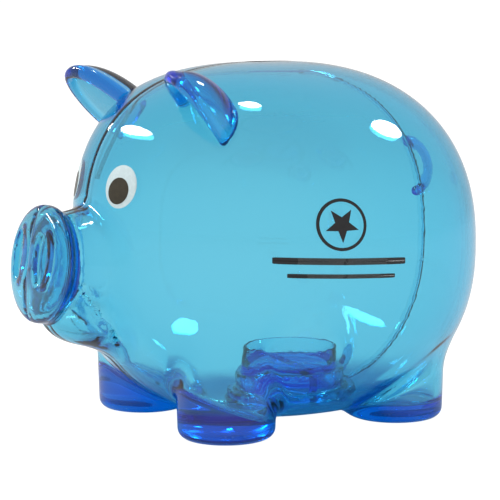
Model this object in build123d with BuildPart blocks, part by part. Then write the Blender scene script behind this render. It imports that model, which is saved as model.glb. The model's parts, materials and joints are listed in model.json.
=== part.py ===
"""Translucent piggy bank: two glued shells, ears, tail, printed eyes and a pull-out belly stopper.

The pig stands on its four feet at z = 0 and faces -Y, with its left side at +X. The origin is at the
bottom centre of its box. All lengths are in millimetres.
"""
import math
import os

from build123d import *

os.makedirs("parts", exist_ok=True)

# Shell wall, and the lip inside the left half that overlaps the seam
wall = 2.0
glue_gap = 0.1
lip_depth = 3.6
lip_root = 1.5
lip_reach = 4.5

# Body: an egg of elliptical sections whose outline is a superellipse
body_y = 10.2
body_z = 46.5
half_width = 51.9
front_length = 58.5
rear_length = 50.9
height_above = 49.4
depth_below = 45.5
front_power = 2.82
rear_power = 2.33

# Snout: a rounded oval disc on a short neck, with a lower jaw under it
snout_front = 64.5
snout_thick = 9.0
snout_z = 45.2
snout_half_width = 14.6
snout_half_height = 15.0
snout_round = 3.6
neck_half = 12.8
neck_overlap = 1.5
neck_root_half = 17.5
neck_root_y = 38.0
jaw_front_z = 35.0
jaw_front_half = (7.5, 6.5)
jaw_root_z = 30.0
jaw_root_half = (17.0, 14.0)
jaw_root_y = 34.0
nostril_x = 7.0
nostril_z = 47.5
nostril_half = (2.6, 6.6)
nostril_depth = 1.2

# Legs: short tubes, hollow above and solid towards the foot
leg_x = 23.1
leg_rows = {"front": body_y - 29.7, "rear": body_y + 22.6}
foot_radius = 12.6
leg_top_radius = 13.2
leg_top_z = 19.0
foot_round = 2.2
sole = 7.0

# Coin slot on the back
slot_length = 31.0
slot_width = 4.6
slot_y = body_y + 5.6
slot_reach = 12.0

# Belly hole and the stopper that closes it
stopper_y = body_y + 4.0
hole_radius = 12.75
fit_clearance = 0.15
recess_radius = 15.8
recess_top = 3.4
seat_radius = 17.6
seat_top = 5.8
collar_radius = 14.6
collar_top = 11.0
flange_radius = 15.4
flange_bottom = 1.5
flange_top = recess_top - 0.1
skirt_wall = 1.8
skirt_top = 18.6
web_thick = 3.2
cup_floor_bottom = 10.0
cup_floor_top = 11.8

# Ears: cupped scoops that open forward and down, their base sunk into the head's wall
ear_base = (24.4, body_y - 35.6, 80.6)
ear_axis = (0.40, -0.65, 0.645)
ear_chord = (0.85, 0.15, -0.50)
ear_half = (9.8, 9.4, 18.0)
ear_wall = 2.2
root_sink = 1.0

# Tail: a tapered strand that arches out from the rump and curls back to it
tail_root = (body_y + 43.0, 73.4)
tail_crest = (body_y + 52.5, 64.3)
tail_tip = (body_y + 50.6, 60.2)
tail_root_radius = 2.2
tail_tip_radius = 1.5

# Printed ink: eyes on the face and a plain coin emblem on the left flank
ink = 0.15
eye_center = (12.9, 65.2)
eye_half = (5.2, 5.6)
eye_lean = -12
pupil_center = (12.0, 64.1)
pupil_half = (3.3, 3.5)
emblem_y = body_y - 11.8
emblem_z = 56.7
emblem_radius = 6.5
emblem_line = 0.8
star_radius = 4.5
star_inner = 0.4
rules = {47.5: (34.4, 1.7), 43.8: (28.0, 1.1)}


def half_belly(inset):
    """Left half of the body, grown inwards by inset: two quarter turns of one outline, the upper
    and the lower one flattened differently."""
    width = half_width - inset
    steps = 12
    points = []
    for step in range(-steps, steps + 1):
        length = (front_length if step < 0 else rear_length) - inset
        power = front_power if step < 0 else rear_power
        along = math.sin(math.pi / 2 * step / steps)
        across = (1 - abs(along) ** power) ** (1 / power)
        points.append((width * across, length * along))
    quarters = []
    for height, turn in ((height_above, -90), (depth_below, 90)):
        with BuildPart() as quarter:
            with BuildSketch(Plane.XY):
                with BuildLine():
                    Spline(*points, tangents=((1, 0), (-1, 0)))
                    Line(points[-1], points[0])
                make_face()
            revolve(axis=Axis.Y, revolution_arc=turn)
            scale(by=(1, 1, (height - inset) / width))
        quarters.append(quarter.part)
    with BuildPart() as half:
        add(quarters)
    return half.part.moved(Location((0, body_y, body_z)))


def half_muzzle(inset):
    """Left half of the snout disc, neck and lower jaw, grown inwards by inset."""
    disc_back = snout_front - snout_thick
    with BuildPart() as snout:
        with BuildSketch(Plane.XZ.offset(disc_back + inset)):
            with Locations((0, snout_z)):
                Ellipse(snout_half_width - inset, snout_half_height - inset)
        extrude(amount=snout_thick - 2 * inset)
        fillet(snout.edges(), max(snout_round - inset, 0.5))
        with BuildSketch(Plane.XZ.offset(disc_back + neck_overlap + inset)):
            with Locations((0, snout_z)):
                Circle(neck_half - inset)
        with BuildSketch(Plane.XZ.offset(neck_root_y)):
            with Locations((0, snout_z)):
                Circle(neck_root_half - inset)
        loft()
    with BuildPart() as jaw:
        with BuildSketch(Plane.XZ.offset(disc_back + 2.5 - inset)):
            with Locations((0, jaw_front_z)):
                Ellipse(jaw_front_half[0] - inset, jaw_front_half[1] - inset)
        with BuildSketch(Plane.XZ.offset(jaw_root_y)):
            with Locations((0, jaw_root_z)):
                Ellipse(jaw_root_half[0] - inset, jaw_root_half[1] - inset)
        loft()
    with BuildPart() as half:
        add(snout.part)
        add(jaw.part)
        split(bisect_by=Plane.YZ, keep=Keep.TOP)
    return half.part


def nostril():
    """The left nostril, a shallow oval pocket in the snout's face."""
    with BuildPart() as pocket:
        with BuildSketch(Plane.XZ.offset(snout_front - nostril_depth)):
            with Locations((nostril_x, nostril_z)):
                Ellipse(*nostril_half)
        extrude(amount=2 * nostril_depth)
    return pocket.part


def left_legs(inset):
    """The two left legs, tapering a little towards the foot, grown inwards by inset."""
    floor = sole if inset else 0.0
    with BuildPart() as one:
        with BuildSketch(Plane.XZ):
            with BuildLine():
                Polyline(
                    (0, floor),
                    (foot_radius - inset, floor),
                    (leg_top_radius - inset, leg_top_z),
                    (0, leg_top_z),
                    close=True,
                )
            make_face()
        revolve(axis=Axis.Z)
        rim = one.edges().filter_by(GeomType.CIRCLE).sort_by(Axis.Z)[0]
        fillet(rim, foot_round - inset / 2)
    with BuildPart() as pair:
        with Locations([(leg_x, row_y, 0) for row_y in leg_rows.values()]):
            add(one.part)
    return pair.part


def half_pig(inset):
    """Left half of the pig's closed form without legs, grown inwards by inset."""
    return half_belly(inset) + half_muzzle(inset)


def slab(x_low, x_high):
    """A tall block between two planes across X, larger than the whole pig in Y and Z."""
    reach = 80.0
    with BuildPart() as block:
        with BuildSketch(Plane.XY):
            with Locations(((x_low + x_high) / 2, 0)):
                Rectangle(x_high - x_low, 2 * reach)
        extrude(amount=2 * reach)
    return block.part.moved(Location((0, 0, -reach / 4)))


def disc(radius, z_low, z_high):
    """A round plug blank on the stopper's axis."""
    with BuildPart() as blank:
        with BuildSketch(Plane.XY.offset(z_low)):
            with Locations((0, stopper_y)):
                Circle(radius)
        extrude(amount=z_high - z_low)
    return blank.part


def ear(side):
    """Half of a hollow ellipsoid, opening forward and down, with its base in the head's wall."""
    with BuildPart() as scoop:
        Sphere(1.0)
        scale(by=ear_half)
        split(bisect_by=Plane.XZ, keep=Keep.BOTTOM)
    with BuildPart() as hollow:
        Sphere(1.0)
        scale(by=tuple(half - ear_wall for half in ear_half))
    with BuildPart() as blank:
        add(scoop.part)
        add(hollow.part, mode=Mode.SUBTRACT)
    stand = Plane(origin=ear_base, x_dir=ear_chord, z_dir=ear_axis)
    with BuildPart() as trimmed:
        add(blank.part.moved(stand.location))
        add(half_belly(root_sink), mode=Mode.SUBTRACT)
    piece = trimmed.part.solids().sort_by(Axis.Z)[-1]
    return piece if side > 0 else piece.mirror(Plane.YZ)


def print_layer(level):
    """The left skin of ink number level on the body, level 0 lying on the plastic itself."""
    with BuildPart() as skin:
        add(half_belly(-ink * (level + 1)))
        add(half_belly(-ink * level), mode=Mode.SUBTRACT)
    return skin.part


def eye_print(side, center, half, level):
    """One printed oval on the face, leaning back at its top."""
    with BuildPart() as oval:
        with BuildSketch(Plane.XZ):
            with Locations(Location((center[0], center[1], 0), (0, 0, eye_lean))):
                Ellipse(*half)
        extrude(amount=front_length)
        add(print_layer(level), mode=Mode.INTERSECT)
    return oval.part if side > 0 else oval.part.mirror(Plane.YZ)


# Solid halves that the shells are cut from; the hollow leaves the seat and collar of the belly hole
outer_form = half_pig(0) + left_legs(0) - nostril()
hollow_form = half_pig(wall) + left_legs(wall)
hollow_form -= disc(seat_radius, 0, seat_top) + disc(collar_radius, 0, collar_top)

with BuildPart() as slot_cut:
    with BuildSketch(Plane.XY.offset(body_z + height_above - slot_reach)):
        with Locations((0, slot_y)):
            SlotOverall(slot_length, slot_width, rotation=90)
    extrude(amount=2 * slot_reach)

with BuildPart() as belly_cut:
    add(disc(hole_radius, 0, collar_top + 1))
    add(disc(recess_radius, 0, recess_top))

# Ears, standing on the head and leaning forward
with BuildPart() as left_ear:
    add(ear(1))
with BuildPart() as right_ear:
    add(ear(-1))

# Tail, swept along one arc in the mid-plane with a round tip
with BuildPart() as tail:
    with BuildLine(Plane.YZ) as tail_line:
        ThreePointArc(tail_root, tail_crest, tail_tip)
    with BuildSketch(Plane(tail_line.line @ 0, z_dir=tail_line.line % 0)):
        Circle(tail_root_radius)
    with BuildSketch(Plane(tail_line.line @ 1, z_dir=tail_line.line % 1)):
        Circle(tail_tip_radius)
    sweep(path=tail_line.line, multisection=True)
    with Locations(tail_line.line @ 1):
        Sphere(tail_tip_radius)
    add(half_belly(root_sink), mode=Mode.SUBTRACT)
    add(half_belly(root_sink).mirror(Plane.YZ), mode=Mode.SUBTRACT)

# One half of the shell: wall, belly seat and collar, cut out for the slot, hole, ear and tail
with BuildPart() as half_shell:
    add(outer_form)
    add(hollow_form, mode=Mode.SUBTRACT)
    add(belly_cut.part, mode=Mode.SUBTRACT)
    add(slot_cut.part, mode=Mode.SUBTRACT)
    add(left_ear.part, mode=Mode.SUBTRACT)
    add(tail.part, mode=Mode.SUBTRACT)

# Lip that lines the seam behind the right half's wall, interrupted at the coin slot and belly seat
with BuildPart() as lip_band:
    add(half_pig(wall + glue_gap).mirror(Plane.YZ))
    add(slab(-lip_reach, 0), mode=Mode.INTERSECT)
    add(half_pig(lip_depth).mirror(Plane.YZ), mode=Mode.SUBTRACT)
with BuildPart() as lip_foot:
    add(half_pig(wall - glue_gap))
    add(slab(0, lip_root), mode=Mode.INTERSECT)
    add(half_pig(lip_depth), mode=Mode.SUBTRACT)
with BuildPart() as seam_lip:
    add(lip_band.part)
    add(lip_foot.part)
    add(disc(seat_radius + 0.5, 0, collar_top + 1), mode=Mode.SUBTRACT)
    add(slot_cut.part, mode=Mode.SUBTRACT)

with BuildPart() as left_shell:
    add(half_shell.part)
    add(seam_lip.part)

with BuildPart() as right_shell:
    add(half_shell.part.mirror(Plane.YZ))

# Stopper: a flanged cup pressed into the belly hole, with a grip web across its underside
with BuildPart() as stopper:
    add(disc(flange_radius, flange_bottom, flange_top))
    fillet(stopper.edges(), 0.6)
    add(disc(hole_radius - fit_clearance, flange_bottom, skirt_top))
    add(disc(hole_radius - skirt_wall, flange_bottom, cup_floor_bottom), mode=Mode.SUBTRACT)
    add(disc(hole_radius - skirt_wall, cup_floor_top, skirt_top), mode=Mode.SUBTRACT)
    with BuildSketch(Plane.XY.offset(flange_bottom)):
        with Locations((0, stopper_y)):
            Rectangle(2 * (hole_radius - skirt_wall) + 0.6, web_thick)
    extrude(amount=cup_floor_bottom - flange_bottom)

# Printed eyes: a pale oval and a dark pupil on top of it
with BuildPart() as left_eye_white:
    add(eye_print(1, eye_center, eye_half, 0))
with BuildPart() as right_eye_white:
    add(eye_print(-1, eye_center, eye_half, 0))
with BuildPart() as left_pupil:
    add(eye_print(1, pupil_center, pupil_half, 1))
with BuildPart() as right_pupil:
    add(eye_print(-1, pupil_center, pupil_half, 1))

# Printed emblem: a ring round a star, over two plain rules
with BuildPart() as side_emblem:
    with BuildSketch(Plane.YZ.offset(half_width / 2)):
        with Locations((emblem_y, emblem_z)):
            Circle(emblem_radius)
            Circle(emblem_radius - emblem_line, mode=Mode.SUBTRACT)
            with BuildLine():
                star = []
                for corner in range(10):
                    radius = star_radius * (star_inner if corner % 2 else 1.0)
                    turn = math.radians(90 + 36 * corner)
                    star.append((emblem_y + radius * math.cos(turn), emblem_z + radius * math.sin(turn)))
                Polyline(*star, close=True)
            make_face()
        for rule_z, (length, thick) in rules.items():
            with Locations((emblem_y, rule_z)):
                Rectangle(length, thick)
    extrude(amount=half_width)
    add(print_layer(0), mode=Mode.INTERSECT)

pieces = {
    "left_shell": left_shell,
    "right_shell": right_shell,
    "left_ear": left_ear,
    "right_ear": right_ear,
    "tail": tail,
    "stopper": stopper,
    "left_eye_white": left_eye_white,
    "right_eye_white": right_eye_white,
    "left_pupil": left_pupil,
    "right_pupil": right_pupil,
    "side_emblem": side_emblem,
}
for label, piece in pieces.items():
    piece.part.label = label
    export_step(piece.part, f"parts/{label}.step")
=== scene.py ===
"""Looks of a see-through blue piggy bank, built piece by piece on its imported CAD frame.

Shapes are worked out in millimetres in the frame's own axes (pig facing -Y, left side +X) and
turned into metres when their mesh is made.
"""
import json

import bmesh
import bpy
import numpy as np
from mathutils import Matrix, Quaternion, Vector


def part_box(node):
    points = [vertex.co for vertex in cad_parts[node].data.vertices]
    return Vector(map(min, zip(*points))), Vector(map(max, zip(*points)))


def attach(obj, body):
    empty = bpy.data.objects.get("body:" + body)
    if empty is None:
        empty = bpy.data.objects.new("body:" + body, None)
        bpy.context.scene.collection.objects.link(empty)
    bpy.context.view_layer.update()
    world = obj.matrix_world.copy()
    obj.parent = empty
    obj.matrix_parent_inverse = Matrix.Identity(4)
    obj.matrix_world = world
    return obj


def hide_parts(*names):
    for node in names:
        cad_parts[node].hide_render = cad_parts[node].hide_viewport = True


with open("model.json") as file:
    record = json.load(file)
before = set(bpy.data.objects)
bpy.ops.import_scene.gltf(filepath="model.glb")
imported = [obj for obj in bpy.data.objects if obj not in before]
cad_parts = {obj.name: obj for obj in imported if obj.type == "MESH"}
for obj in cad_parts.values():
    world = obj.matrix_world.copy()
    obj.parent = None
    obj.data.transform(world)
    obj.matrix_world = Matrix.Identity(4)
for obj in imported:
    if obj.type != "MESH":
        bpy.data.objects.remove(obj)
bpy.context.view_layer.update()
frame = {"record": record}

# ---------------------------------------------------------------------------------------------
# The two body halves: thin clear polystyrene tinted blue, injection moulded, glued along the
# mid-plane. Body, snout, jaw and short legs run into each other in soft fillets, so the form
# is one blended solid, and each half is its outer skin, its inner skin and the flat glued edge.
# ---------------------------------------------------------------------------------------------
shell_low, shell_high = [np.array(corner) * 1000 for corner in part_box("left_shell")]
plug_low, plug_high = [np.array(corner) * 1000 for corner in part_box("stopper")]
feet = {mount["name"]: np.array(mount["pos_m"]) * 1000 for mount in frame["record"]["mounts"]}

wall = 2.0
seam_gap = 0.05
body_length = (58.5, 50.9)  # ahead of and behind the widest place
body_y = shell_high[1] - body_length[1]
body_z = 46.5
body_half_width = shell_high[0]
body_height = (shell_high[2] - body_z, 47.0)  # above and below the middle line
outline_power, section_power = (2.82, 2.33), (2.32, 2.27)  # ahead, behind; above, below
front_taper = (0.48, 0.15)  # in width, and in depth below the middle line
belly_z = 1.0
head_join, leg_join = 3.0, 3.5
chin_join = 5.0  # what the fillet under the chin adds to the head's
snout_center, snout_half, snout_lean = (0, -60.2, 45.2), (15.2, 4.4, 15.2), 0.125
jaw_center, jaw_half = (0, -47.6, 32.8), (13.2, 12.8, 9.5)
nostril_center, nostril_half = (6.9, -64.6, 47.4), (2.8, 4.0, 6.7)
leg_rows = (  # foot, radius, height of the hollow's end over the foot's middle, its fall backwards
    ("left_front_foot", 12.6, 8.0, 0.44),
    ("left_rear_foot", 13.0, 4.6, 0.0),
)
plug_y = (plug_low[1] + plug_high[1]) / 2
crease_z = (25.5, 28.5, 31, 33.7, 36.3, 39.3, 46.9)  # of the mouth, from the chin to the snout
crease_y = (-44.4, -46.3, -47.7, -50.4, -52.2, -54.1, -55.6)
seat_radius, seat_top = 17.6, 5.8
collar_radius, collar_top = 14.6, 11.0


def join(a, b, reach):
    """Union of two forms with a fillet: the smaller value, less a parabola where they are near."""
    share = np.clip(0.5 + 0.5 * (b - a) / reach, 0, 1)
    return b + (a - b) * share - reach * share * (1 - share)


def carve(a, b, reach):
    """Form a without form b, with a rounded edge."""
    return -join(-a, b, reach)


def slope(form, x, y, z, step=0.05):
    """Gradient of a form by central differences."""
    return (
        (form(x + step, y, z) - form(x - step, y, z)) / (2 * step),
        (form(x, y + step, z) - form(x, y - step, z)) / (2 * step),
        (form(x, y, z + step) - form(x, y, z - step)) / (2 * step),
    )


def barrel(x, y, z, inset):
    """Body: superellipse sections |x/w|^p + |z/h|^p along a superellipse outline, narrower in front."""
    along, up = y - body_y, z - body_z
    ahead = along < 0
    share = np.abs(along) / (np.where(ahead, *body_length) - inset)
    outline = np.where(ahead, *outline_power)
    section = np.where(up > 0, *section_power)
    front = np.where(ahead, np.minimum(share, 1.0) ** 2, 0.0)
    width = (body_half_width - inset) * (1 - front_taper[0] * front)
    below = (body_height[1] - inset) * (1 - front_taper[1] * front)
    height = np.where(up > 0, body_height[0] - inset, below)
    across = (np.abs(x / width) ** section + np.abs(up / height) ** section) ** (1 / section)
    return (across**outline + share**outline) ** (1 / outline) - 1


def belly_form(x, y, z, inset):
    """Signed distance to the body, to first order, cut flat underneath."""
    value = barrel(x, y, z, inset)
    dx, dy, dz = slope(lambda *at: barrel(*at, inset), x, y, z)
    value = value / np.maximum(np.sqrt(dx * dx + dy * dy + dz * dz), 0.006)
    return carve(value, z - belly_z - inset, 3.0)


def oval(x, y, z, center, half, power, lean=0.0):
    """Superellipsoid with an elliptical face across Y, leaning back by an angle."""
    forward, up = y - center[1], z - center[2]
    forward, up = (
        forward * np.cos(lean) - up * np.sin(lean),
        forward * np.sin(lean) + up * np.cos(lean),
    )
    face = np.sqrt(((x - center[0]) / half[0]) ** 2 + (up / half[2]) ** 2) + 1e-9
    deep = np.abs(forward) / half[1] + 1e-9
    value = (face**power + deep**power) ** (1 / power)
    face_slope = np.sqrt(((x - center[0]) / half[0] ** 2) ** 2 + (up / half[2] ** 2) ** 2) / face
    rate = np.sqrt((face ** (power - 1) * face_slope) ** 2 + (deep ** (power - 1) / half[1]) ** 2)
    return (value - 1) / np.maximum(value ** (1 - power) * rate, 0.004)


def nostril_form(x, y, z, grow):
    """The two nostrils, tall teardrop pockets in the snout's face."""
    return oval(np.abs(x), y, z, nostril_center, [size + grow for size in nostril_half], 2.0, 0.12)


def head_form(x, y, z, inset):
    """Neck cone, lower jaw and the leaning snout disc."""
    share = np.clip((y + 56.5) / 20, -0.2, 1.4)
    radius = 12.4 + 5.4 * share - inset
    neck = np.hypot(x, z - 45.3 + 1.5 * share) - radius
    neck = np.maximum(neck * 0.966, np.maximum(-57 + inset - y, y + 24))
    jaw = oval(x, y, z, jaw_center, [size - inset for size in jaw_half], 2.0)
    snout = oval(x, y, z, snout_center, [size - inset for size in snout_half], 2.8, snout_lean)
    return join(join(neck, jaw, 2.0), snout, 2.0)


def leg_form(x, y, z, inset):
    """Four short legs: upright rods with a rounded sole. Their hollow ends well above the floor, and in
    front on a slope, so that the feet are solid."""
    value = None
    for place, radius, end, fall in leg_rows:
        across, along = np.abs(x) - feet[place][0], y - feet[place][1]
        side = np.hypot(across, along) - radius - 0.03 * np.clip(z, 0, 20) + inset
        sole = (end - fall * (0.3 * across + 0.9 * along) if inset else 0.0) - z
        edge = 1.2 if inset else 2.6
        corner = np.maximum(side + edge, 0), np.maximum(sole + edge, 0)
        one = np.minimum(np.maximum(side, sole) + edge, 0) - edge + np.hypot(*corner)
        one = np.maximum(one, z - 30)
        value = one if value is None else np.minimum(value, one)
    return value


def pig_form(x, y, z, inset=0.0):
    """The whole pig's closed form, shrunk by inset, with the crease of the mouth cut in its outside."""
    chin = head_join + chin_join * np.clip((40 - z) / 14, 0, 1)
    value = join(belly_form(x, y, z, inset), head_form(x, y, z, inset), chin)
    value = join(value, leg_form(x, y, z, inset), leg_join)
    if inset == 0:
        crease = np.interp(z, crease_z, crease_y)
        groove = np.maximum(np.abs(y - crease) * 0.8 - 0.3, -value - 0.6)
        groove = np.maximum(groove, np.maximum(z - 41, 24.5 - z))
        value = carve(value, groove, 0.6)
    return carve(value, nostril_form(x, y, z, inset * 0.85), 0.8)


def cavity_form(x, y, z):
    """The hollow inside the wall, which leaves the round seat and collar of the belly hole standing."""
    away = np.hypot(x, y - plug_y)
    seat = np.maximum(away - seat_radius, z - seat_top)
    collar = np.maximum(away - collar_radius, z - collar_top)
    return carve(pig_form(x, y, z, wall), join(seat, collar, 1.2), 0.8)


def skin(form, low, high, step):
    """Surface of a form as quads: one point in each grid cell that the surface crosses, at the mean of
    its edge crossings, joined across every crossed edge, then moved along the slope onto the surface."""
    counts = [int(np.ceil((b - a) / step)) + 1 for a, b in zip(low, high)]
    axes = [a + step * np.arange(n) for a, n in zip(low, counts)]
    value = form(*np.meshgrid(*axes, indexing="ij"))
    cells = tuple(n - 1 for n in counts)
    total, hits, quads = np.zeros(cells + (3,)), np.zeros(cells), []
    crossings = []
    for axis in range(3):
        near = np.take(value, range(counts[axis] - 1), axis)
        far = np.take(value, range(1, counts[axis]), axis)
        at = np.argwhere((near < 0) != (far < 0))
        a, b = near[tuple(at.T)], far[tuple(at.T)]
        crossings.append((axis, at, a < 0))
        first, second = [k for k in range(3) if k != axis]
        for shift in ((0, 0), (-1, 0), (0, -1), (-1, -1)):
            cell = at.copy()
            cell[:, first] += shift[0]
            cell[:, second] += shift[1]
            inside = ((cell >= 0) & (cell < cells)).all(1)
            offset = np.zeros((len(at), 3))
            offset[:, axis] = a / (a - b)
            offset[:, first], offset[:, second] = -shift[0], -shift[1]
            spot = tuple(cell[inside].T)
            np.add.at(total, spot, offset[inside])
            np.add.at(hits, spot, 1)
    used = hits > 0
    number = -np.ones(cells, int)
    number[used] = np.arange(used.sum())
    points = (np.argwhere(used) + total[used] / hits[used][:, None]) * step + np.array(low)
    for axis, at, inward in crossings:
        first, second = [(1, 2), (2, 0), (0, 1)][axis]
        inside = (at[:, first] > 0) & (at[:, second] > 0)
        inside &= (at[:, first] < counts[first] - 1) & (at[:, second] < counts[second] - 1)
        corners = []
        for shift in ((-1, -1), (0, -1), (0, 0), (-1, 0)):
            cell = at[inside].copy()
            cell[:, first] += shift[0]
            cell[:, second] += shift[1]
            corners.append(number[tuple(cell.T)])
        quad = np.stack(corners, 1)
        quad[~inward[inside]] = quad[~inward[inside]][:, ::-1]
        quads.append(quad)
    return settle(form, points), np.concatenate(quads)


def settle(form, points, rounds=4):
    """Newton steps that bring points onto a form's surface."""
    for _ in range(rounds):
        lean = np.stack(slope(form, *points.T), 1)
        move = lean * (form(*points.T) / np.maximum((lean**2).sum(1), 1e-4))[:, None]
        size = np.linalg.norm(move, axis=1, keepdims=True)
        points = points - move * np.minimum(1, 0.5 / np.maximum(size, 1e-9))
    return points


def mesh_piece(name, points, faces, crease=35):
    """A mesh object in metres from millimetre points, smooth but for edges sharper than crease degrees."""
    mesh = bpy.data.meshes.new(name)
    mesh.from_pydata((np.asarray(points) * 0.001).tolist(), [], [list(map(int, face)) for face in faces])
    mesh.validate()
    mesh.shade_smooth()
    mesh.set_sharp_from_angle(angle=np.radians(crease))
    piece = bpy.data.objects.new(name, mesh)
    bpy.context.scene.collection.objects.link(piece)
    return piece


def half_of(points, quads):
    """The part of a symmetric skin with x >= 0, whose rim lies in the mid-plane."""
    points = points.copy()
    points[np.abs(points[:, 0]) < 0.02, 0] = 0.0
    keep = (points[quads, 0] >= 0).all(1)
    used, quads = np.unique(quads[keep], return_inverse=True)
    return points[used], quads.reshape(-1, 4)


def combine(piece, others, operation="DIFFERENCE"):
    """Exact boolean of a closed piece with closed others, applied to the mesh."""
    for other in others:
        step = piece.modifiers.new("combine", "BOOLEAN")
        step.operation, step.solver, step.object = operation, "EXACT", other
    bpy.context.view_layer.update()
    graph = bpy.context.evaluated_depsgraph_get()
    mesh = bpy.data.meshes.new_from_object(piece.evaluated_get(graph))
    piece.modifiers.clear()
    piece.data = mesh
    return piece


def lathe(name, profile, center, turns=128, crease=30):
    """A closed solid of revolution: the profile (radius, height) carried round an upright axis."""
    profile = np.array(profile, float)
    turn = np.linspace(0, 2 * np.pi, turns, endpoint=False)
    ring = np.stack([np.cos(turn), np.sin(turn)], 1)
    points = np.concatenate(
        [np.column_stack([ring * r + center, np.full(turns, z)]) for r, z in profile]
        + [[[*center, profile[0][1]], [*center, profile[-1][1]]]]
    )
    here = np.arange(turns)
    there = np.roll(here, -1)
    rows = np.arange(len(profile) - 1)[:, None] * turns
    quads = np.stack([rows + here, rows + there, rows + turns + there, rows + turns + here], -1)
    last = (len(profile) - 1) * turns
    caps = [(len(points) - 2, b, a) for a, b in zip(here, there)]
    caps += [(len(points) - 1, last + a, last + b) for a, b in zip(here, there)]
    return mesh_piece(name, points, [*quads.reshape(-1, 4), *caps], crease)


def moulded_gloss():
    """Node group: how polished moulded plastic varies. Long soft flow waves and sparse fine hairline
    scratches go to the normal. Faint finger haze goes to the roughness, with the dull snout that fingers
    hold and the soles and flat belly that the table scuffs."""
    group = bpy.data.node_groups.new("moulded_gloss", "ShaderNodeTree")
    for name, kind, value in (
        ("Polish", "NodeSocketFloat", 0.01),
        ("Haze", "NodeSocketFloat", 0.03),
        ("Waves", "NodeSocketFloat", 0.02),
        ("Scratches", "NodeSocketFloat", 0.01),
    ):
        group.interface.new_socket(name, in_out="INPUT", socket_type=kind).default_value = value
    group.interface.new_socket("Roughness", in_out="OUTPUT", socket_type="NodeSocketFloat")
    group.interface.new_socket("Normal", in_out="OUTPUT", socket_type="NodeSocketVector")
    node, wire = group.nodes.new, group.links.new
    given, out, place = node("NodeGroupInput"), node("NodeGroupOutput"), node("ShaderNodeTexCoord")
    haze = node("ShaderNodeTexNoise")
    haze.inputs["Scale"].default_value = 55
    haze.inputs["Detail"].default_value = 4
    wire(place.outputs["Object"], haze.inputs["Vector"])
    spread = node("ShaderNodeMapRange")
    spread.inputs["From Min"].default_value, spread.inputs["From Max"].default_value = 0.42, 0.72
    wire(haze.outputs["Fac"], spread.inputs["Value"])
    wire(given.outputs["Polish"], spread.inputs["To Min"])
    wire(given.outputs["Haze"], spread.inputs["To Max"])
    axes = node("ShaderNodeSeparateXYZ")
    wire(place.outputs["Object"], axes.inputs["Vector"])
    rough = spread.outputs["Result"]
    for axis, start, stop, amount in (("Z", 0.0016, 0.0006, 0.32), ("Y", -0.047, -0.056, 0.05)):
        worn, most = node("ShaderNodeMapRange"), node("ShaderNodeMath")
        worn.inputs["From Min"].default_value, worn.inputs["From Max"].default_value = start, stop
        worn.inputs["To Max"].default_value = amount
        most.operation = "MAXIMUM"
        wire(axes.outputs[axis], worn.inputs["Value"])
        wire(rough, most.inputs[0])
        wire(worn.outputs["Result"], most.inputs[1])
        rough = most.outputs["Value"]
    wire(rough, out.inputs["Roughness"])
    wave = node("ShaderNodeTexNoise")
    wave.inputs["Scale"].default_value = 26
    wave.inputs["Detail"].default_value = 1
    wire(place.outputs["Object"], wave.inputs["Vector"])
    stretch = node("ShaderNodeMapping")
    stretch.inputs["Scale"].default_value = (900, 60, 700)
    stretch.inputs["Rotation"].default_value = (0.5, 0.3, 0.7)
    wire(place.outputs["Object"], stretch.inputs["Vector"])
    hair = node("ShaderNodeTexNoise")
    hair.inputs["Scale"].default_value = 1
    hair.inputs["Detail"].default_value = 2
    wire(stretch.outputs["Vector"], hair.inputs["Vector"])
    lines = node("ShaderNodeMapRange")
    lines.inputs["From Min"].default_value, lines.inputs["From Max"].default_value = 0.70, 0.76
    wire(hair.outputs["Fac"], lines.inputs["Value"])
    first, second = node("ShaderNodeBump"), node("ShaderNodeBump")
    first.inputs["Distance"].default_value = 0.002
    second.inputs["Distance"].default_value = 0.00002
    wire(given.outputs["Waves"], first.inputs["Strength"])
    wire(wave.outputs["Fac"], first.inputs["Height"])
    wire(given.outputs["Scratches"], second.inputs["Strength"])
    wire(lines.outputs["Result"], second.inputs["Height"])
    wire(first.outputs["Normal"], second.inputs["Normal"])
    wire(second.outputs["Normal"], out.inputs["Normal"])
    return group


gloss_group = moulded_gloss()


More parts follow.
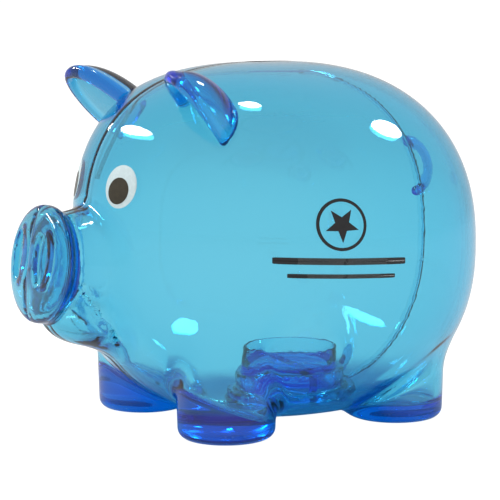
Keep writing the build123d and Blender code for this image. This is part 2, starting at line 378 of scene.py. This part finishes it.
def tinted_plastic(name, tint, density, ior=1.56, polish=0.0, haze=0.02, glow_ray_lengths=(0.007, 0.018)):
    """Clear plastic whose colour comes from its thickness: light is absorbed on its way through. It also
    gets a painted glow: emission, not a lamp, on its back faces after a long ray inside it and on every ray
    past twelve bounces. It stands in for light that runs far inside the plastic, or is caught between its
    faces, and leaves as haze."""
    material = bpy.data.materials.new(name)
    material.use_nodes = True
    nodes, wire = material.node_tree.nodes, material.node_tree.links.new
    shader, out = nodes["Principled BSDF"], nodes["Material Output"]
    shader.inputs["Base Color"].default_value = (1, 1, 1, 1)
    shader.inputs["Transmission Weight"].default_value = 1
    shader.inputs["IOR"].default_value = ior
    gloss = nodes.new("ShaderNodeGroup")
    gloss.node_tree = gloss_group
    for socket, value in (("Polish", polish), ("Haze", haze), ("Waves", 0.03), ("Scratches", 0.2)):
        gloss.inputs[socket].default_value = value
    wire(gloss.outputs["Roughness"], shader.inputs["Roughness"])
    wire(gloss.outputs["Normal"], shader.inputs["Normal"])
    # Painted glow: emission strength rises with the ray's length on back faces, and is full on rays deeper
    # than twelve bounces.
    guided, face = nodes.new("ShaderNodeLightPath"), nodes.new("ShaderNodeNewGeometry")
    long_ray_glow, inside = nodes.new("ShaderNodeMapRange"), nodes.new("ShaderNodeMath")
    for socket, value in zip(("From Min", "From Max", "To Max"), (*glow_ray_lengths, 0.30)):
        long_ray_glow.inputs[socket].default_value = value
    wire(guided.outputs["Ray Length"], long_ray_glow.inputs["Value"])
    inside.operation = "MULTIPLY"
    wire(long_ray_glow.outputs["Result"], inside.inputs[0])
    wire(face.outputs["Backfacing"], inside.inputs[1])
    trapped_ray_glow, painted_glow = nodes.new("ShaderNodeMath"), nodes.new("ShaderNodeMath")
    trapped_ray_glow.operation, painted_glow.operation = "COMPARE", "MAXIMUM"
    trapped_ray_glow.inputs[1].default_value, trapped_ray_glow.inputs[2].default_value = 12, 0.5
    wire(guided.outputs["Ray Depth"], trapped_ray_glow.inputs[0])
    wire(inside.outputs["Value"], painted_glow.inputs[0])
    wire(trapped_ray_glow.outputs["Value"], painted_glow.inputs[1])
    wire(painted_glow.outputs["Value"], shader.inputs["Emission Strength"])
    shader.inputs["Emission Color"].default_value = (0.6, 0.9, 0.8, 1)
    material.cycles.emission_sampling = "NONE"
    depth = nodes.new("ShaderNodeVolumeAbsorption")
    depth.inputs["Color"].default_value = (*tint, 1)
    depth.inputs["Density"].default_value = density
    wire(depth.outputs["Volume"], out.inputs["Volume"])
    return material


shell_plastic = tinted_plastic("blue_polystyrene", (0.065, 0.821, 0.958), 520)

recess_radius, recess_top, hole_radius = 15.8, 3.4, 12.75
belly_cutter = lathe(
    "belly_cutter",
    [(recess_radius, -6), (recess_radius, recess_top), (hole_radius, recess_top), (hole_radius, 14)],
    (0, plug_y),
)
slot_y, slot_half_width, slot_half_straight = body_y + 5.4, 2.3, 13.2
turn = np.linspace(-np.pi / 2, np.pi / 2, 25)
slot_line = np.concatenate(
    [
        np.stack(
            [
                slot_half_width * np.sin(turn + start),
                slot_y + shift + slot_half_width * np.cos(turn + start),
            ],
            1,
        )
        for start, shift in ((0, slot_half_straight), (np.pi, -slot_half_straight))
    ]
)[::-1]
count = len(slot_line)
slot_cutter = mesh_piece(
    "slot_cutter",
    np.concatenate([np.column_stack([slot_line, np.full(count, z)]) for z in (80, 110)]),
    [[a, (a + 1) % count, (a + 1) % count + count, a + count] for a in range(count)]
    + [list(range(count))[::-1], list(range(count, 2 * count))],
)

step = 0.8
grid_low = (-2.5 * step, shell_low[1] - 3, -2.2)
grid_high = (body_half_width + 3, shell_high[1] + 3, shell_high[2] + 2.5)
outer_points, outer_quads = half_of(*skin(pig_form, grid_low, grid_high, step))
inner_points, inner_quads = half_of(*skin(cavity_form, grid_low, grid_high, step))


def edge_ring(name, points, quads):
    """The flat glued edge: the rims of the outer and inner skin in the mid-plane, filled between."""
    mesh = bpy.data.meshes.new(name)
    mesh.from_pydata((points * 0.001).tolist(), [], quads.tolist())
    work = bmesh.new()
    work.from_mesh(mesh)
    rim = [edge for edge in work.edges if edge.is_boundary]
    bmesh.ops.triangle_fill(work, edges=rim, use_beauty=True, normal=(-1, 0, 0))
    open_edges = sum(edge.is_boundary for edge in work.edges)
    print("half shell: open edges after the fill", open_edges, "faces", len(work.faces))
    work.to_mesh(mesh)
    work.free()
    return mesh


groove_width, groove_depth = 0.9, 0.22
rim = np.clip(1 - outer_points[:, 0] / groove_width, 0, 1)[:, None] ** 2
lean = np.stack(slope(pig_form, *outer_points.T), 1)
lean = lean / np.maximum(np.linalg.norm(lean, axis=1, keepdims=True), 1e-6)
outer_points = outer_points - groove_depth * rim * lean
all_points = np.concatenate([outer_points, inner_points])
all_quads = np.concatenate([outer_quads, inner_quads[:, ::-1] + len(outer_points)])
half_mesh = edge_ring("half_shell", all_points, all_quads)
half = bpy.data.objects.new("half_shell", half_mesh)
bpy.context.scene.collection.objects.link(half)
combine(half, [belly_cutter, slot_cutter])
print("half shell after cuts", len(half.data.polygons))

for side, name in ((1, "left_shell"), (-1, "right_shell")):
    mesh = half.data.copy()
    place = np.zeros(len(mesh.vertices) * 3, np.float32)
    mesh.vertices.foreach_get("co", place)
    place = place.reshape(-1, 3)
    place[:, 0] = side * (place[:, 0] + seam_gap * 0.001)
    mesh.vertices.foreach_set("co", place.ravel())
    if side < 0:
        mesh.flip_normals()
    mesh.shade_smooth()
    mesh.set_sharp_from_angle(angle=np.radians(40))
    mesh.materials.clear()
    mesh.materials.append(shell_plastic)
    piece = bpy.data.objects.new(name + "_moulding", mesh)
    bpy.context.scene.collection.objects.link(piece)
    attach(piece, "pig")
    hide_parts(name)
for helper in (half, belly_cutter, slot_cutter):
    bpy.data.objects.remove(helper)

# ---------------------------------------------------------------------------------------------
# Seam lip: a band moulded inside the left half that reaches behind the right half's wall and
# takes the glue. It stops at the coin slot, at the seat of the belly hole and at the snout.
# ---------------------------------------------------------------------------------------------
def grid_mesh(name, points, closed_across=True, crease=35):
    """A piece from a grid of rows (rows, columns, 3), each row a closed loop, with the end rows capped."""
    rows, columns = points.shape[:2]
    number = np.arange(rows * columns).reshape(rows, columns)
    beside = np.roll(number, -1, 1)
    quads = np.stack([number[:-1], beside[:-1], beside[1:], number[1:]], -1).reshape(-1, 4)
    ends = [number[0][::-1].tolist(), number[-1].tolist()]
    piece = mesh_piece(name, points.reshape(-1, 3), [*quads, *ends], crease)
    outward(piece)
    return piece


def outward(piece, weld=0.00001):
    """Welds doubled points and turns all faces outwards."""
    work = bmesh.new()
    work.from_mesh(piece.data)
    bmesh.ops.remove_doubles(work, verts=work.verts, dist=weld)
    bmesh.ops.recalc_face_normals(work, faces=work.faces)
    work.to_mesh(piece.data)
    work.free()
    return piece


def lip_radius(x, angle, inset):
    """Distance from the body's middle line to the skin at an inset, by halving, along rays across X."""
    def form(radius):
        y, z = body_y + radius * np.cos(angle), body_z + radius * np.sin(angle)
        return join(belly_form(x, y, z, inset), head_form(x, y, z, inset), 5.0)

    low, high = np.full(angle.shape, 22.0), np.full(angle.shape, 57.0)
    for _ in range(26):
        middle = (low + high) / 2
        inside = form(middle) < 0
        low, high = np.where(inside, middle, low), np.where(inside, high, middle)
    return (low + high) / 2


lip_root, lip_face = wall + 0.05, wall + 0.6
lip_section = np.array(
    [
        (0.6, lip_root), (0.6, 2.4), (0.4, lip_face), (-0.6, lip_face), (-1.6, lip_face),
        (-1.9, 2.3), (-1.9, lip_root), (-1.2, lip_root), (-0.5, lip_root),
    ]
)
lip_runs = {"top": (101.0, 160.0), "rear": (81.0, -61.0), "front": (-136.0, -112.0)}
for run, (start, stop) in lip_runs.items():
    angle = np.radians(np.linspace(start, stop, max(int(abs(stop - start)), 12)))
    angle = angle[:, None] + np.zeros(len(lip_section))
    across = np.zeros_like(angle) + lip_section[:, 0]
    radius = lip_radius(across, angle, np.zeros_like(angle) + lip_section[:, 1])
    points = np.stack([across, body_y + radius * np.cos(angle), body_z + radius * np.sin(angle)], -1)
    piece = grid_mesh("seam_lip_" + run, points)
    piece.data.materials.append(shell_plastic)
    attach(piece, "pig")

# ---------------------------------------------------------------------------------------------
# Ears: hollow scoops moulded apart in the same plastic, a little deeper in colour, opening
# forward and down, with a rounded thick rim. Their base is ground to the head and glued on.
# ---------------------------------------------------------------------------------------------
# The ear plastic gets the same painted glow, after shorter rays inside it.
ear_plastic = tinted_plastic(
    "blue_polystyrene_deep", (0.07, 0.76, 0.96), 900, polish=0.05, haze=0.09, glow_ray_lengths=(0.004, 0.010)
)
ear_base = np.array((24.2, -26.6, 81.2))
ear_axis = np.array((0.392, -0.660, 0.641))
ear_chord = np.array((0.822, 0.175, -0.53))
ear_chord = ear_chord - ear_axis * (ear_chord @ ear_axis)
ear_chord = ear_chord / np.linalg.norm(ear_chord)
ear_back = np.cross(ear_axis, ear_chord)
ear_back = ear_back * np.sign(ear_back[1])
ear_outside, ear_inside, ear_rim = (9.4, 9.2, 17.8), (8.1, 7.5, 16.2), (8.5, 16.6)


def ear_form(x, y, z):
    """Half of a hollow ellipsoid, with a bead round its rim that is thicker on the inner side, trimmed
    0.06 mm off the head's skin."""
    x, y, z = x - ear_base[0], y - ear_base[1], z - ear_base[2]
    across, deep, up = [x * a[0] + y * a[1] + z * a[2] for a in (ear_chord, ear_back, ear_axis)]
    shell = carve(
        oval(across, deep, up, (0, 0, 0), ear_outside, 2.0),
        oval(across, deep, up, (0, -0.6, 0), ear_inside, 2.0),
        0.6,
    )
    shell = carve(shell, deep + 0.2, 0.9)
    wide, tall = ear_rim
    share = np.hypot(across / wide, up / tall)
    steep = np.maximum(np.hypot(across * tall / wide, up * wide / tall), 4.0)
    around = (share - 1) * wide * tall / steep * share
    bead = 1.55 - 0.65 * np.clip(across / 7, -1, 1)
    shell = join(shell, np.hypot(around, deep - 0.5) - bead, 1.0)
    head = belly_form(x + ear_base[0], y + ear_base[1], z + ear_base[2], 0.0) - 0.06
    return carve(shell, head, 0.3)


ear_points, ear_quads = skin(ear_form, (10, -46, 70), (44, -8, 101), 0.45)
for side, name in ((1, "left_ear"), (-1, "right_ear")):
    piece = mesh_piece(name + "_moulding", ear_points * (side, 1, 1), ear_quads[:, ::side], 50)
    piece.data.materials.append(ear_plastic)
    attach(piece, "pig")
    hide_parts(name)

# ---------------------------------------------------------------------------------------------
# Tail: a solid tapered strand bent into one curl, moulded apart in the ears' plastic and glued
# into the seam on the rump.
# ---------------------------------------------------------------------------------------------
tail_high = np.array(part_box("tail")[1]) * 1000
curl_radius, curl_z = 7.6, 66.2


def strand(name, path, radii, around=32):
    """A round tube of changing radius along a path in the plane x = 0, closed at both ends."""
    along = np.gradient(path, axis=0)
    along = along / np.linalg.norm(along, axis=1, keepdims=True)
    side = np.stack([-along[:, 1], along[:, 0]], 1)
    turn = np.linspace(0, 2 * np.pi, around, endpoint=False)
    points = np.stack(
        [
            radii[:, None] * np.cos(turn),
            path[:, :1] + radii[:, None] * np.sin(turn) * side[:, :1],
            path[:, 1:] + radii[:, None] * np.sin(turn) * side[:, 1:],
        ],
        -1,
    )
    return grid_mesh(name, points)


t = np.linspace(0, 1, 60)
sweep = np.radians(98 - 190 * t)
curl = np.stack(
    [tail_high[1] - 9.2 + curl_radius * np.cos(sweep), curl_z + curl_radius * np.sin(sweep)], 1
)
thick = 2.1 - 0.7 * t
end = np.clip((1 - t) / 0.07, 0, 1)
tail = strand("tail_moulding", curl, np.maximum(thick * np.sqrt(1 - (1 - end) ** 2), 0.05))
tail.data.materials.append(ear_plastic)
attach(tail, "pig")
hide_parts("tail")

# ---------------------------------------------------------------------------------------------
# Stopper: a flanged cup of softer clear plastic with a grip web underneath, pressed up into the
# belly hole. It is the one piece that comes out.
# ---------------------------------------------------------------------------------------------
stopper_plastic = tinted_plastic("blue_soft_plastic", (0.06, 0.815, 0.965), 760, ior=1.2, haze=0.05)
skirt_trim = 1.6
low, high = plug_low[2], plug_high[2] - skirt_trim
stopper = lathe(
    "stopper_moulding",
    [
        (10.4, 10.0), (10.95, 9.5), (10.95, low + 0.3), (11.2, low), (14.9, low), (15.3, low + 0.15),
        (15.4, low + 0.5), (15.4, low + 1.3), (15.3, low + 1.65), (14.9, low + 1.8), (12.8, low + 1.8),
        (12.6, low + 2.0), (12.6, high - 0.3), (12.55, high - 0.1), (12.45, high), (12.25, high),
        (12.15, high - 0.1), (12.1, high - 0.3), (12.1, 12.6), (11.0, 11.8),
    ],
    (0, plug_y),
    turns=160,
)
turn = np.linspace(0, 2 * np.pi, 32, endpoint=False)
web_outline = np.stack(
    [
        11.1 * np.sign(np.cos(turn)) * np.abs(np.cos(turn)) ** 0.16,
        plug_y + 1.6 * np.sign(np.sin(turn)) * np.abs(np.sin(turn)) ** 0.45,
    ],
    1,
)
web_rows = [np.column_stack([web_outline, np.full(len(turn), z)]) for z in (low + 0.1, 10.4)]
web = grid_mesh("grip_web", np.stack(web_rows))
combine(stopper, [web], "UNION")
bpy.data.objects.remove(web)
stopper.data.shade_smooth()
stopper.data.set_sharp_from_angle(angle=np.radians(50))
stopper.data.materials.clear()
stopper.data.materials.append(stopper_plastic)
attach(stopper, "stopper")
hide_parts("stopper")

# ---------------------------------------------------------------------------------------------
# Printed eyes: pad-printed pale ovals with a dark pupil oval over them, set low and forward. Each
# ink is a thin opaque film on the outside of the head.
# ---------------------------------------------------------------------------------------------
def printed_ink(name, color, roughness, speckle):
    """Opaque ink: an even film, slightly mottled in colour and gloss, with a fine orange-peel relief."""
    material = bpy.data.materials.new(name)
    material.use_nodes = True
    nodes, wire = material.node_tree.nodes, material.node_tree.links.new
    shader = nodes["Principled BSDF"]
    place, noise = nodes.new("ShaderNodeTexCoord"), nodes.new("ShaderNodeTexNoise")
    noise.inputs["Scale"].default_value = 900
    noise.inputs["Detail"].default_value = 3
    wire(place.outputs["Object"], noise.inputs["Vector"])
    shade = nodes.new("ShaderNodeValToRGB")
    shade.color_ramp.elements[0].position, shade.color_ramp.elements[1].position = 0.3, 0.7
    shade.color_ramp.elements[0].color = (*[c * (1 - speckle) for c in color], 1)
    shade.color_ramp.elements[1].color = (*color, 1)
    wire(noise.outputs["Fac"], shade.inputs["Fac"])
    wire(shade.outputs["Color"], shader.inputs["Base Color"])
    gloss = nodes.new("ShaderNodeMapRange")
    gloss.inputs["To Min"].default_value, gloss.inputs["To Max"].default_value = roughness, roughness + 0.1
    wire(noise.outputs["Fac"], gloss.inputs["Value"])
    wire(gloss.outputs["Result"], shader.inputs["Roughness"])
    relief = nodes.new("ShaderNodeBump")
    relief.inputs["Strength"].default_value, relief.inputs["Distance"].default_value = 0.15, 0.00003
    wire(noise.outputs["Fac"], relief.inputs["Height"])
    wire(relief.outputs["Normal"], shader.inputs["Normal"])
    return material


def onto_skin(flat, axis, start, stop, lift):
    """Where lines along X (axis 0) or Y (axis 1) through flat points meet the lifted skin, by halving."""
    begin, end = np.full(flat.shape[:-1], float(start)), np.full(flat.shape[:-1], float(stop))
    for _ in range(24):
        middle = (begin + end) / 2
        x, y = (middle, flat[..., 0]) if axis == 0 else (flat[..., 0], middle)
        outside = pig_form(x, y, flat[..., 1], 0.0) > lift
        begin, end = np.where(outside, middle, begin), np.where(outside, end, middle)
    x, y = (end, flat[..., 0]) if axis == 0 else (flat[..., 0], end)
    return np.stack([x, y, flat[..., 1]], -1)


def ink_film(name, flat, axis, start, stop, low, high, material):
    """A closed film over a grid of flat points (rings, around, 2): a lower and an upper face that
    follow the skin, joined at the rims."""
    under = onto_skin(flat, axis, start, stop, low)
    over = onto_skin(flat, axis, start, stop, high)
    rows = np.concatenate([under, over[::-1], under[:1]])
    count, around = rows.shape[:2]
    number = np.arange(count * around).reshape(count, around)
    beside = np.roll(number, -1, 1)
    quads = np.stack([number[:-1], beside[:-1], beside[1:], number[1:]], -1).reshape(-1, 4)
    piece = mesh_piece(name, rows.reshape(-1, 3), quads, 60)
    outward(piece, 0.000002)
    piece.data.shade_smooth()
    piece.data.set_sharp_from_angle(angle=np.radians(60))
    piece.data.materials.append(material)
    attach(piece, "pig")
    return piece


def oval_rings(center, half, lean, rings=10, around=72):
    """Concentric ellipses about a centre, leaning by an angle."""
    ring = np.linspace(0.0, 1.0, rings)[:, None]
    turn = np.linspace(0, 2 * np.pi, around, endpoint=False)
    a, b = half[0] * ring * np.cos(turn), half[1] * ring * np.sin(turn)
    across, up = a * np.cos(lean) - b * np.sin(lean), a * np.sin(lean) + b * np.cos(lean)
    return np.stack([center[0] + across, center[1] + up], -1)


white_ink = printed_ink("eye_white_ink", (0.70, 0.84, 0.86), 0.22, 0.05)
pupil_ink = printed_ink("pupil_ink", (0.045, 0.035, 0.016), 0.25, 0.3)
right_eye_shift = 1.2
for side, name in ((1, "left"), (-1, "right")):
    for part, center, half, lean, low, high, ink in (
        ("eye_white", (12.9, 65.25), (4.5, 5.45), 0.20, 0.02, 0.08, white_ink),
        ("pupil", (12.6, 64.2), (2.95, 3.35), 0.20, 0.09, 0.15, pupil_ink),
    ):
        flat = oval_rings(center, half, lean) * (side, 1)
        if side < 0:
            flat = flat + (right_eye_shift, 0)
        piece = ink_film(f"{name}_{part}_print", flat, 1, -64, -20, low, high, ink)
        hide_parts(f"{name}_{part}")

# ---------------------------------------------------------------------------------------------
# Flank emblem: a plain ring round a star over two rules, pad-printed in one pass of black ink on
# the left side, so the film follows the curve of the body.
# ---------------------------------------------------------------------------------------------
black_ink = printed_ink("emblem_ink", (0.012, 0.012, 0.014), 0.3, 0.35)
emblem_center = np.array((-1.6, 56.7))
turn = np.linspace(0, 2 * np.pi, 96, endpoint=False)
circle = np.stack([np.cos(turn), np.sin(turn)], -1)
ring = emblem_center + np.linspace(5.7, 6.5, 3)[:, None, None] * circle
# The star's edge runs straight from tip to notch: by the sine rule, radius = tip notch sin(a) over
# tip sin(a w) + notch sin(a (1 - w)), with a = 36 degrees and w from 0 at a tip to 1 at a notch.
point = np.linspace(0, 2 * np.pi, 100, endpoint=False)
wedge = np.abs((point / (2 * np.pi) * 5) % 1 - 0.5) * 2
tip, notch, fifth = 4.5, 4.5 * 0.42, np.pi / 5
spread = tip * np.sin(fifth * wedge) + notch * np.sin(fifth * (1 - wedge))
radius = tip * notch * np.sin(fifth) / spread
outline = radius[:, None] * np.stack([np.sin(point + np.pi), -np.cos(point + np.pi)], -1)
star = emblem_center + np.linspace(0, 1, 6)[:, None, None] * outline[None]


def rule_rings(center, half):
    """Nested rectangles with a hair of rounding, from the middle line out."""
    turn = np.linspace(0, 2 * np.pi, 120, endpoint=False)
    a = np.sign(np.cos(turn)) * np.abs(np.cos(turn)) ** 0.12
    b = np.sign(np.sin(turn)) * np.abs(np.sin(turn)) ** 0.12
    share = np.linspace(0, 1, 5)[:, None]
    along = half[0] * a * (0.985 + 0.015 * share)
    return np.stack([center[0] + along, center[1] + half[1] * b * share - 0.041 * along], -1)


films = {
    "ring": ring,
    "star": star,
    "long_rule": rule_rings((-0.9, 47.5), (17.2, 0.85)),
    "short_rule": rule_rings((-0.9, 43.8), (14.0, 0.55)),
}
for part, flat in films.items():
    piece = ink_film("emblem_" + part, flat, 0, 56, 10, 0.02, 0.08, black_ink)
    if part == "ring":
        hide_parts("side_emblem")

# ---------------------------------------------------------------------------------------------
# Floor, daylight and camera: a lit white table under a white sky, with three soft oval lamps, one
# behind, one in front and one overhead.
# ---------------------------------------------------------------------------------------------
floor_mesh = bpy.data.meshes.new("floor")
reach, floor_z = 40.0, -0.00005
corners = [(x, y, floor_z) for x, y in ((-reach, -reach), (reach, -reach), (reach, reach), (-reach, reach))]
floor_mesh.from_pydata(corners, [], [(0, 1, 2, 3)])
floor = bpy.data.objects.new("floor", floor_mesh)
bpy.context.scene.collection.objects.link(floor)
paper = bpy.data.materials.new("white_paper")
paper.use_nodes = True
paper_shader = paper.node_tree.nodes["Principled BSDF"]
paper_shader.inputs["Base Color"].default_value = (0.22, 0.22, 0.22, 1)
paper_shader.inputs["Roughness"].default_value = 0.9
paper_shader.inputs["Specular IOR Level"].default_value = 0.0
# Painted shadow: under the pig the paper's emission turns deep blue in an oval for every ray but a camera
# ray, in place of the light that reaches it through the blue plastic. Its reflections show that painted
# shadow, not its own white face.
node = paper.node_tree.nodes.new
under, oval_place = node("ShaderNodeTexCoord"), node("ShaderNodeMapping")
oval_place.inputs["Location"].default_value = (0, -0.17, 0)
oval_place.inputs["Scale"].default_value = (17.0, 15.0, 1)
painted_shadow_pool, painted_shadow_tint = node("ShaderNodeTexGradient"), node("ShaderNodeValToRGB")
painted_shadow_pool.gradient_type = "SPHERICAL"
painted_shadow_tint.color_ramp.elements[0].position, painted_shadow_tint.color_ramp.elements[1].position = 0.0, 0.42
painted_shadow_tint.color_ramp.elements[0].color = (1, 1, 1, 1)
painted_shadow_tint.color_ramp.elements[1].color = (0.02, 0.22, 0.55, 1)
looked, cover = node("ShaderNodeLightPath"), node("ShaderNodeMix")
cover.data_type = "RGBA"
cover.inputs["B"].default_value = (1, 1, 1, 1)
for source, target in (
    (under.outputs["Object"], oval_place.inputs["Vector"]),
    (oval_place.outputs["Vector"], painted_shadow_pool.inputs["Vector"]),
    (painted_shadow_pool.outputs["Fac"], painted_shadow_tint.inputs["Fac"]),
    (looked.outputs["Is Camera Ray"], cover.inputs["Factor"]),
    (painted_shadow_tint.outputs["Color"], cover.inputs["A"]),
    (cover.outputs["Result"], paper_shader.inputs["Emission Color"]),
):
    paper.node_tree.links.new(source, target)
world = bpy.data.worlds.new("white_sky")
world.use_nodes = True
sky = world.node_tree.nodes["Background"]
sky.inputs["Color"].default_value = (1, 1, 1, 1)
bpy.context.scene.world = world
for tree, socket, seen, cast in (
    (paper.node_tree, paper_shader.inputs["Emission Strength"], 1.0, 0.55),
    (world.node_tree, sky.inputs["Strength"], 1.06, 0.69),
):
    direct, level = tree.nodes.new("ShaderNodeLightPath"), tree.nodes.new("ShaderNodeMapRange")
    level.inputs["To Min"].default_value, level.inputs["To Max"].default_value = cast, seen
    tree.links.new(direct.outputs["Is Camera Ray"], level.inputs["Value"])
    tree.links.new(level.outputs["Result"], socket)
floor_mesh.materials.append(paper)

turn, rise, distance = np.radians(58.98), np.radians(6.98), 0.5213
back = np.array([np.sin(turn) * np.cos(rise), -np.cos(turn) * np.cos(rise), np.sin(rise)])
aim = np.array([0, body_y, body_z]) * 0.001
camera_data = bpy.data.cameras.new("camera")
camera = bpy.data.objects.new("camera", camera_data)
bpy.context.scene.collection.objects.link(camera)
camera.location = aim + back * distance
camera.rotation_euler = (np.pi / 2 - rise, 0, turn)
camera_data.sensor_width = 36
camera_data.lens = 136.9728
camera_data.shift_x = -0.05766
camera_data.shift_y = -0.0166
camera_data.clip_start = 0.01
camera_data.clip_end = 200
bpy.context.scene.camera = camera


def soft_lamp(name, direction, away, size, tall, power, spin=0.0):
    """An oval area lamp that faces the pig from a direction, spun about it."""
    direction = np.array(direction) / np.linalg.norm(direction)
    data = bpy.data.lights.new(name, "AREA")
    data.shape, data.size, data.size_y, data.energy = "ELLIPSE", size, tall, power
    lamp = bpy.data.objects.new(name, data)
    bpy.context.scene.collection.objects.link(lamp)
    lamp.location = aim + direction * away
    facing = Vector(direction).to_track_quat("Z", "Y")
    lamp.rotation_euler = (facing @ Quaternion((0, 0, 1), spin)).to_euler()
    return lamp


soft_lamp("rear_softbox", (0.168, 0.652, 0.739), 1.2, 0.27, 0.25, 4.6)
soft_lamp("front_softbox", (-0.477, -0.574, 0.666), 1.2, 0.78, 0.125, 6.6, 0.333)
soft_lamp("top_softbox", (-0.06, 0.023, 0.998), 1.2, 0.15, 0.15, 1.8)

scene = bpy.context.scene
scene.view_settings.view_transform = "Standard"
scene.cycles.max_bounces = 64
scene.cycles.transmission_bounces = 64
scene.cycles.transparent_max_bounces = 16
